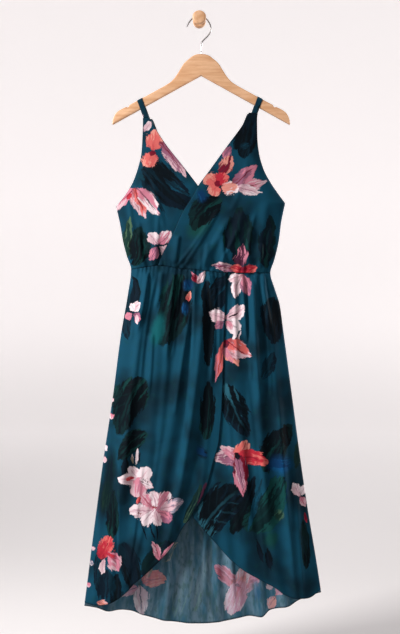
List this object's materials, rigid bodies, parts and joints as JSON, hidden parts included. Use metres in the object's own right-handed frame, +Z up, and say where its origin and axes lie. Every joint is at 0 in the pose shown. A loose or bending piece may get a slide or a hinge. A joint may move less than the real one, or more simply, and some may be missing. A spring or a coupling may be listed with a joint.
{
  "type": "wrap dress on a hanger and wall peg",
  "caption": "Sleeveless wrap dress with a V neck, gathered waist and tulip skirt, hung by its straps on a flat wooden hanger from a round wall peg.",
  "frame": {"origin": "centre of the wall peg's flat back face, on the wall", "axes": "+X to the right as the dress is seen from the front, +Y into the wall, +Z up"},
  "size_m": [0.5894, 0.0657, 1.5247],
  "materials": {
    "printed_cloth": "dark teal light woven cloth printed with large pink, coral and navy flowers and leaves, soft sheen",
    "pale_wood": "pale beech, clear satin lacquer",
    "hook_steel": "plain grey steel wire"
  },
  "bodies": {
    "root": {"bodice_front_under": "printed_cloth", "bodice_front_over": "printed_cloth", "bodice_back": "printed_cloth", "strap_left": "printed_cloth", "strap_right": "printed_cloth", "skirt_front_over": "printed_cloth", "skirt_front_under": "printed_cloth", "skirt_back": "printed_cloth", "hanger_wood": "pale_wood", "wall_peg": "pale_wood", "hanger_hook": "hook_steel"}
  },
  "joints": []
}
